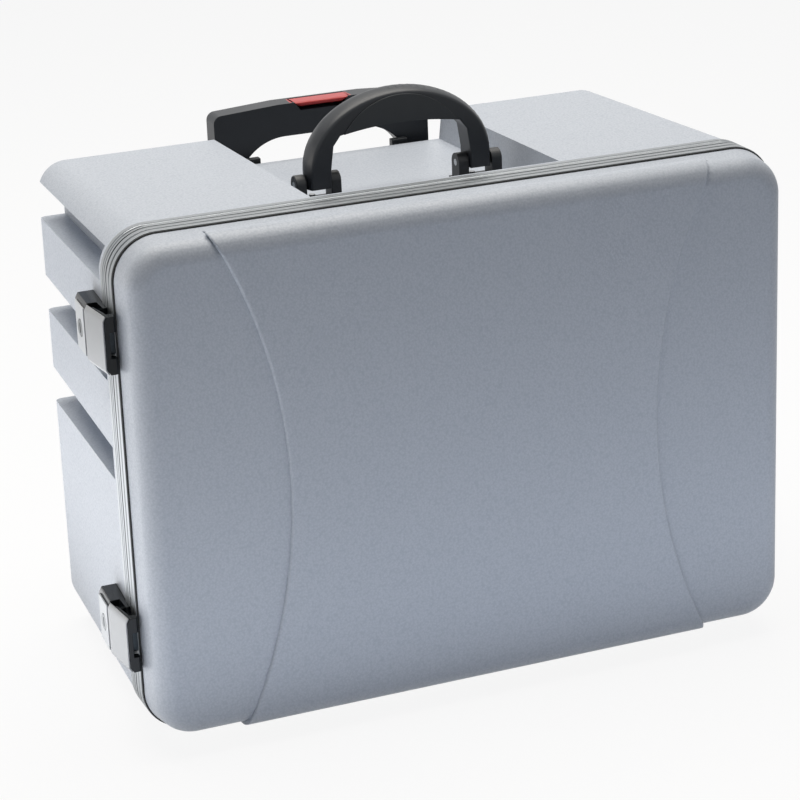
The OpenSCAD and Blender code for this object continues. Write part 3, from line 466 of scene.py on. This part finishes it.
def makeHandle():
    bm = cadCopy("carry_handle")
    for share in handle["slices"]:
        sliceMesh(bm, (0, handle["y"] + share * handle["thick"] / 2, 0), (0, 1, 0))
    centreZ = handle["pivotZ"] + handle["archLift"]
    tall = max(v.co.z for v in bm.verts) - centreZ
    for v in bm.verts:
        rise = max(v.co.z - centreZ, 0)
        reach = math.hypot(v.co.x / handle["half"], rise / tall)
        if reach > handle["rimShare"]:
            fall = handle["crown"] * ((v.co.y - handle["y"]) / (handle["thick"] / 2)) ** 2
            v.co.x *= 1 - fall / handle["half"]
            v.co.z -= fall * rise / tall
    bmesh.ops.dissolve_limit(bm, angle_limit=math.radians(0.3), verts=bm.verts, edges=bm.edges)
    roundEdges(bm, handle["edge"], 4, 50, lambda e: abs(e.verts[0].co.y - e.verts[1].co.y) < 1
               and abs(abs(e.verts[0].co.y - handle["y"]) - handle["thick"] / 2) < 0.01
               and min(math.hypot(v.co.y - handle["y"], v.co.z - handle["pivotZ"]) for v in e.verts) > handle["eye"])
    meshPiece("carryHandleArch", bm, "carry_handle", handleNylon, ["carry_handle"])

    pad = bmesh.new()
    rod(pad, (0, handle["y"], handle["padZ"]), handle["padRadius"], handle["thick"] + 2 * handle["padProud"], 160)
    padPiece = looseObject("handlePad", pad)
    below = bmesh.new()
    rod(below, (0, handle["y"], handle["pivotZ"] + handle["under"] - handle["underDrop"]), handle["underRadius"],
        handle["underLength"], 720)
    under = looseObject("handlePadUnder", below)
    cutFrom(padPiece, under)
    pad = cleaned(workedMesh(padPiece, [under]), 0.01, 0.3)
    roundEdges(pad, handle["padEdge"], 3, 50)
    meshPiece("carryHandlePad", pad, "carry_handle", padRubber)


# Pull handle: the grip, drawn as one body in place of its two imported halves, with an arched opening, and a red
# button let into its top
grip = {"half": 88.5, "front": 261.5, "rear": 279.5, "foot": 329, "top": 374, "fall": 3.3, "crown": 36, "corner": 6,
        "openHalf": 73, "openLow": 250, "openTop": 348.5, "openPast": 5, "openRadius": 42, "edge": 2.4}
button = {"half": 25.2, "lowHalf": 16.8, "backSpread": 2.5, "lip": 3.6, "over": 5, "travel": 3, "gap": 0.5,
          "rear": 3, "notchRear": 2.5, "edge": 1.5}


# Trapezoid prism over the front edge of the grip, from the top down to a lip
def buttonForm(gap, extra, back):
    bm = bmesh.new()
    over = button["over"] if gap else 0
    for v in block(bm, (-1, grip["front"] - gap, grip["top"] - button["lip"] - extra), (1, back, grip["top"] + over)):
        low = v.co.z < grip["top"] - 1
        atBack = v.co.y > grip["front"] + 5
        spread = button["backSpread"] if low and atBack else 0
        v.co.x *= (button["lowHalf"] if low else button["half"]) + gap + spread
    return bm


def makePullGrip():
    bm = bmesh.new()
    block(bm, (-grip["half"], grip["front"], grip["foot"]), (grip["half"], grip["rear"], grip["top"]))
    for side in (-1, 1):
        sliceMesh(bm, (side * grip["crown"], 0, 0), (1, 0, 0))
    for v in bm.verts:
        if abs(v.co.x) > grip["half"] - 1 and v.co.z > grip["top"] - 1:
            v.co.z -= grip["fall"]
    ends = [e for e in bm.edges
            if all(abs(v.co.x) > grip["half"] - 1 and v.co.z > grip["foot"] + 1 for v in e.verts)]
    bevelEdges(bm, ends, grip["corner"], 8)
    body = looseObject("gripBody", bm)
    opening = bmesh.new()
    block(opening, (-grip["openHalf"], grip["front"] - grip["openPast"], grip["openLow"]),
          (grip["openHalf"], grip["rear"] + grip["openPast"], grip["openTop"]))
    tops = [e for e in opening.edges if all(v.co.z > grip["openTop"] - 1 for v in e.verts)
            and abs(e.verts[0].co.y - e.verts[1].co.y) > 1]
    bevelEdges(opening, tops, grip["openRadius"], 24)
    arch = looseObject("gripOpening", opening)
    cutFrom(body, arch)
    bm = cleaned(workedMesh(body, [arch]), 0.01, 0.3)
    roundEdges(bm, grip["edge"], 5, 40, lambda e: max(v.co.z for v in e.verts) > grip["foot"] + 1)
    body = looseObject("gripBody", bm)
    notch = looseObject("gripNotch", buttonForm(button["gap"], button["travel"], grip["rear"] - button["notchRear"]))
    cutFrom(body, notch)
    bm = workedMesh(body, [notch])
    bmesh.ops.remove_doubles(bm, verts=bm.verts, dist=0.005)
    meshPiece("pullGripBody", bm, "pull_grip", handleNylon, ["pull_grip_front", "pull_grip_rear"])

    bm = roundEdges(buttonForm(0, 0, grip["rear"] - button["rear"]), button["edge"], 4, 40)
    meshPiece("releaseButton", bm, "release_button", buttonAbs, ["release_button"])


makeHandle()
print("carry handle made")
makePullGrip()
print("pull grip made")


# Rolled aluminium frame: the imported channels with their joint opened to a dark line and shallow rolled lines
frameLines = {"joint": (13.3, 15.05, 1.5), "baseLine": (18.1, 19.1, 0.7), "lidLine": (6.6, 7.4, 0.4), "edge": 0.35,
              "outside": 0.5, "sealDown": 0.9, "sealRoot": 0.4, "sealGap": 0.1}


def outlineSlab(offset, lowY, highY):
    bm = bmesh.new()
    inset = caseSize["corner"]
    for x in (inset - halfWidth, halfWidth - inset):
        for z in (inset, caseSize["height"] - inset):
            rod(bm, (x, (lowY + highY) / 2, z), inset + offset, highY - lowY, 128)
    return looseObject("outlineSlab", hullOf(bm))


def outlineRing(outer, inner, lowY, highY):
    ring = outlineSlab(outer, lowY, highY)
    core = outlineSlab(inner, lowY - 1, highY + 1)
    cutFrom(ring, core)
    return looseObject("outlineRing", workedMesh(ring, [core]))


def makeFrames():
    for nodeName, body, lines in (("base_frame", "base", ["baseLine"]), ("lid_frame", "lid", ["joint", "lidLine"])):
        channel = looseObject("channel", roundEdges(cadCopy(nodeName), frameLines["edge"], 2, 35))
        tools = []
        for line in lines:
            lowY, highY, depth = frameLines[line]
            tools.append(outlineRing(frameLines["outside"], -depth, lowY, highY))
            cutFrom(channel, tools[-1])
        meshPiece("case" + body.capitalize() + "Frame", workedMesh(channel, tools), body, frameAluminium, [nodeName])
    lowY, highY, depth = frameLines["joint"]
    lip = outlineRing(-frameLines["sealDown"], -depth - frameLines["sealRoot"], lowY + frameLines["sealGap"], highY)
    meshPiece("frameSealLip", workedMesh(lip), "base", sealRubber)


makeFrames()
print("frames made")


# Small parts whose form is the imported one, with the edges broken as a mould or a tumbler leaves them
brokenEdges = {
    "lid_trim": ("lid", 0.3, sealRubber, "black_rubber"),
    "latch_housing_upper": ("base", 0.7, latchNylon, "black_plastic"),
    "latch_housing_lower": ("base", 0.7, latchNylon, "black_plastic"),
    "latch_flap_upper": ("latch_flap_upper", 0.7, latchNylon, "black_plastic"),
    "latch_flap_lower": ("latch_flap_lower", 0.7, latchNylon, "black_plastic"),
    "latch_plate_upper": ("base", 0.35, plateEnamel, "cover_grey"),
    "latch_plate_lower": ("base", 0.35, plateEnamel, "cover_grey"),
    # the flap covers' darker grey is painted shade on the flaps
    "flap_cover_upper": ("latch_flap_upper", 0.35, flapCoverShadeEnamel, "cover_grey"),
    "flap_cover_lower": ("latch_flap_lower", 0.35, flapCoverShadeEnamel, "cover_grey"),
    "handle_bracket_left": ("base", 1.6, bracketNylon, "black_plastic"),
    "handle_bracket_right": ("base", 1.6, bracketNylon, "black_plastic"),
    "tube_top_bracket_left": ("base", 0.8, bracketNylon, "black_plastic"),
    "tube_top_bracket_right": ("base", 0.8, bracketNylon, "black_plastic"),
    "tube_foot_bracket_left": ("base", 0.8, bracketNylon, "black_plastic"),
    "tube_foot_bracket_right": ("base", 0.8, bracketNylon, "black_plastic"),
    "wheel_hub_left": ("wheel_left", 0.5, hubNylon, "hub_plastic"),
    "wheel_hub_right": ("wheel_right", 0.5, hubNylon, "hub_plastic"),
    "tyre_left": ("wheel_left", 0.8, tyreRubber, "tyre_rubber"),
    "tyre_right": ("wheel_right", 0.8, tyreRubber, "tyre_rubber"),
    "front_foot_left": ("base", 0.6, sealRubber, "black_rubber"),
    "front_foot_right": ("base", 0.6, sealRubber, "black_rubber")}
for nodeName, (body, width, material, slotName) in brokenEdges.items():
    words = nodeName.split("_")
    pieceName = words[0] + "".join(w.capitalize() for w in words[1:]) + "Worn"
    meshPiece(pieceName, roundEdges(cadCopy(nodeName), width, 2, 35), body, material, [nodeName])
print("edges broken")


# Carried-over nodes with worked finishes; the keepers' near black steel is painted shade for the recess they sit in
finishes = {
    "frame_seal": sealRubber, "latch_pins": turnedSteel, "frame_rivets": turnedSteel, "lid_rivets": turnedSteel,
    "hinge_base_leaf_upper": nickelSteel, "hinge_base_leaf_lower": nickelSteel,
    "hinge_lid_leaf_upper": nickelSteel, "hinge_lid_leaf_lower": nickelSteel, "hinge_pins": turnedSteel,
    "keeper_upper": keeperShadeSteel, "keeper_lower": keeperShadeSteel, "handle_pins": turnedSteel, "bracket_screws": turnedSteel,
    "outer_tube_left": tubeAluminium, "outer_tube_right": tubeAluminium, "middle_tube_left": tubeAluminium,
    "middle_tube_right": tubeAluminium, "inner_tube_left": tubeAluminium, "inner_tube_right": tubeAluminium,
    "tube_screws": turnedSteel, "grip_screws": turnedSteel, "release_rods": turnedSteel,
    "wheel_housing_left": bracketNylon, "wheel_housing_right": bracketNylon, "wheel_axles": turnedSteel,
    "axle_clips": turnedSteel, "foot_screws": turnedSteel,
    "lock_cylinder_upper": lockSteel, "lock_cylinder_lower": lockSteel}
for nodeName, material in finishes.items():
    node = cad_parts[nodeName]
    node.data.materials.clear()
    node.data.materials.append(material)
print("nodes finished")


# Stage, lights and camera: light boxes above and low at the left, and pale cards on the floor at the left and front,
# which the camera doesn't see
studio = {"floorSize": 8, "floorColour": "ececec", "floorGlow": 0.9, "room": 0.05, "roomColour": "8fb4f5",
          "lights": {"topBox": ((0, 0.3, 2.05), (0, 0.08, 0.3), (1.9, 1.7), 51, "fffaf2"),
                     "leftBox": ((-1.9, 0.7, 0.35), (0, 0.05, 0.2), (1.4, 0.6), 9, "fff8ee"),
                     "leftCard": ((-0.72, 0.08, 0.006), (-0.72, 0.08, 1.0), (0.85, 1.1), 4.6, "f4f6fa"),
                     "frontCard": ((0.12, -0.38, 0.006), (0.12, -0.38, 1.0), (0.9, 0.34), 1.15, "dfe9fa")}}


# Camera, mirror and see-through rays meet the bright backdrop, and all other rays meet the dim room
def seenRays(tree):
    path = addNode(tree, "ShaderNodeLightPath")
    both = addNode(tree, "ShaderNodeMath", {"operation": "MAXIMUM"},
                   {0: path.outputs["Is Camera Ray"], 1: path.outputs["Is Glossy Ray"]})
    return addNode(tree, "ShaderNodeMath", {"operation": "MAXIMUM"},
                   {0: both.outputs[0], 1: path.outputs["Is Transmission Ray"]}).outputs[0]


def makeStage():
    bm = bmesh.new()
    bmesh.ops.create_grid(bm, x_segments=1, y_segments=1, size=studio["floorSize"])
    floor = looseObject("studioFloor", bm)
    material, tree, shader, coordinates = startMaterial("paleFloor")
    shader.inputs["Base Color"].default_value = linearColour(studio["floorColour"])
    shader.inputs["Roughness"].default_value = 0.9
    glow = addNode(tree, "ShaderNodeEmission", {"Strength": 1.0})
    glow.inputs[0].default_value = (1, 1, 1, 1)
    share = addNode(tree, "ShaderNodeMath", {"operation": "MULTIPLY", 1: studio["floorGlow"]}, {0: seenRays(tree)})
    mixed = addNode(tree, "ShaderNodeMixShader", {}, {0: share.outputs[0], 1: shader.outputs[0], 2: glow.outputs[0]})
    output = next(n for n in tree.nodes if n.type == "OUTPUT_MATERIAL")
    tree.links.new(mixed.outputs[0], output.inputs[0])
    floor.data.materials.append(material)

    world = bpy.data.worlds.new("studioWorld")
    scene.world = world
    world.use_nodes = True
    tree = world.node_tree
    tree.nodes.clear()
    output = addNode(tree, "ShaderNodeOutputWorld")
    room = addNode(tree, "ShaderNodeBackground", {"Strength": studio["room"]})
    room.inputs[0].default_value = linearColour(studio["roomColour"])
    seen = addNode(tree, "ShaderNodeBackground", {"Strength": 1.0})
    seen.inputs[0].default_value = (1, 1, 1, 1)
    mixed = addNode(tree, "ShaderNodeMixShader", {}, {0: seenRays(tree), 1: room.outputs[0], 2: seen.outputs[0]})
    tree.links.new(mixed.outputs[0], output.inputs[0])


def areaLight(name, position, target, size, power, colour):
    light = bpy.data.lights.new(name, "AREA")
    light.shape = "RECTANGLE"
    light.size, light.size_y = size
    light.energy = power
    light.color = linearColour(colour)[:3]
    lamp = bpy.data.objects.new(name, light)
    lamp.location = position
    lamp.rotation_euler = (Vector(target) - Vector(position)).to_track_quat("-Z", "Y").to_euler()
    lamp.visible_camera = False
    scene.collection.objects.link(lamp)


camera = {"position": (-0.7118, -1.82435, 0.8877), "yaw": 21.46, "pitch": 19.83, "roll": -2.27, "lens": 123.77,
          "sensor": 36}


def makeCamera():
    yaw, pitch, roll = (math.radians(camera[k]) for k in ("yaw", "pitch", "roll"))
    forward = Vector((math.sin(yaw) * math.cos(pitch), math.cos(yaw) * math.cos(pitch), -math.sin(pitch)))
    flat = Vector((math.cos(yaw), -math.sin(yaw), 0))
    up = flat.cross(forward)
    right = math.cos(roll) * flat + math.sin(roll) * up
    top = -math.sin(roll) * flat + math.cos(roll) * up
    data = bpy.data.cameras.new("photoCamera")
    data.lens = camera["lens"]
    data.sensor_width = camera["sensor"]
    data.sensor_fit = "HORIZONTAL"
    eye = bpy.data.objects.new("photoCamera", data)
    turn = Matrix((right, top, -forward)).transposed().to_4x4()
    eye.matrix_world = Matrix.Translation(camera["position"]) @ turn
    scene.collection.objects.link(eye)
    scene.camera = eye


makeStage()
for name, (position, target, size, power, colour) in studio["lights"].items():
    areaLight(name, position, target, size, power, colour)
makeCamera()
print("stage, lights and camera set")
